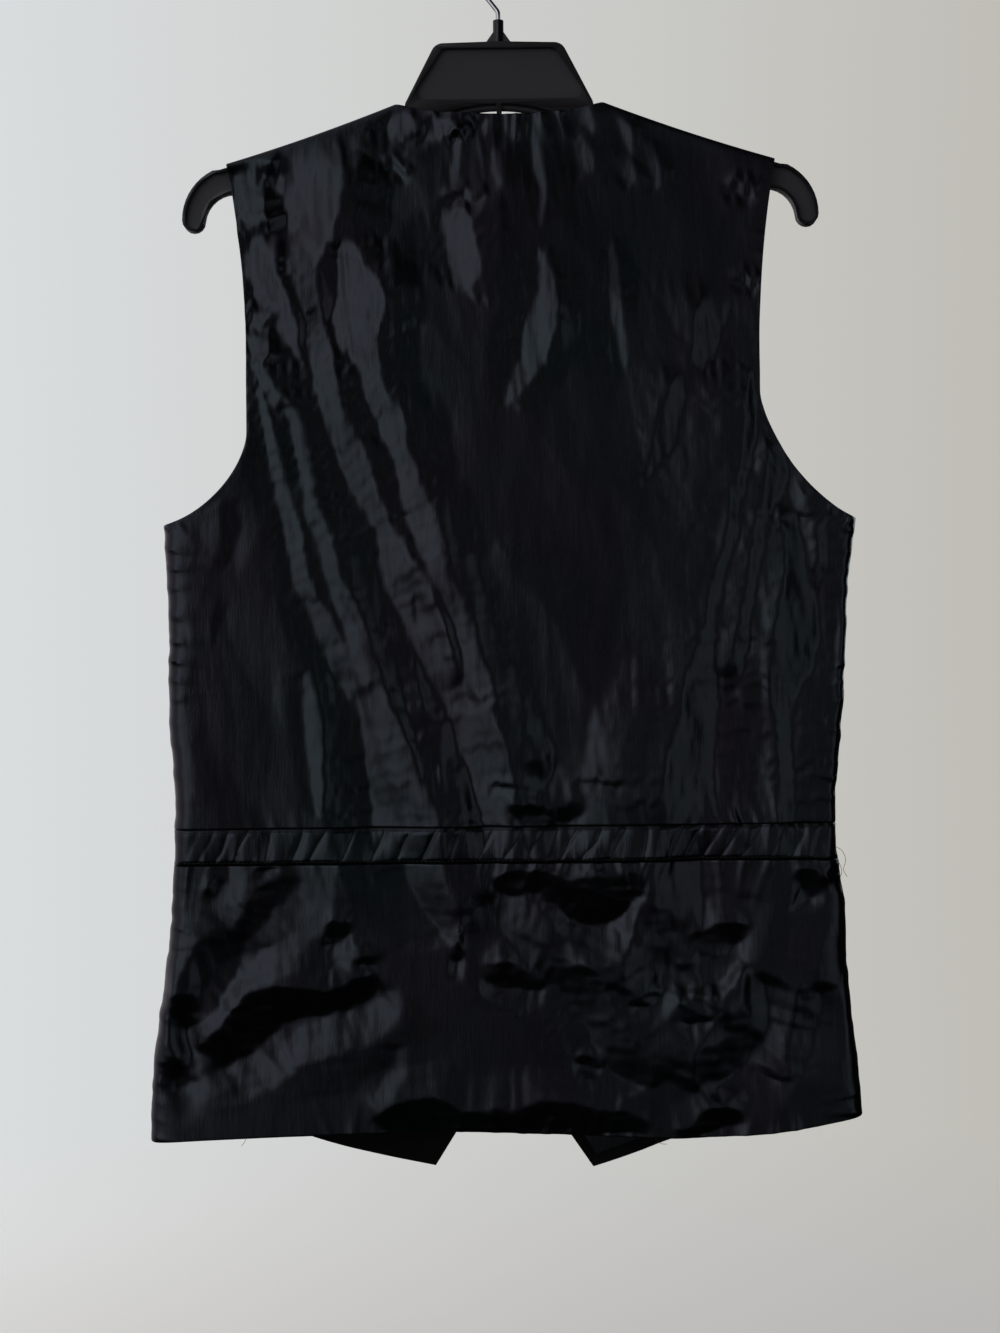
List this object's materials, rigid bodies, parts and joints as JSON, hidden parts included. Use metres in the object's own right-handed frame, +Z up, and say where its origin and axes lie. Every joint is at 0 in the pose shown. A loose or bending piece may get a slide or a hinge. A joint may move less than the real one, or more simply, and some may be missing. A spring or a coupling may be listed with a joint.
{
  "type": "suit waistcoat on a hanger",
  "caption": "Hip-length suit waistcoat with V neck, lapped buttoned front, pointed hem and a gathered band across a shiny lining back, hung on a plastic coat hanger with a wire hook.",
  "frame": {"origin": "inside of the crown of the hanger's hook, where the rail lies", "axes": "+Z up; +X across the shoulders; -Y out of the garment's back, +Y out of its fronts"},
  "size_m": [0.483, 0.0463, 0.8452],
  "materials": {
    "back_taffeta": "black taffeta lining cloth with a bluish sheen",
    "front_suiting": "matte black wool suiting",
    "lining_taffeta": "black satin-faced lining",
    "button_plastic": "polished black",
    "hanger_plastic": "satin moulded black",
    "hook_chrome": "bright plated wire"
  },
  "bodies": {
    "root": {"back_upper": "back_taffeta", "waist_casing": "back_taffeta", "back_lower": "back_taffeta", "front_left": "front_suiting", "front_right": "front_suiting", "lining_right": "lining_taffeta", "button_1": "button_plastic", "button_2": "button_plastic", "button_3": "button_plastic", "button_4": "button_plastic", "button_5": "button_plastic", "hanger_body": "hanger_plastic", "hanger_hook": "hook_chrome"}
  },
  "joints": []
}
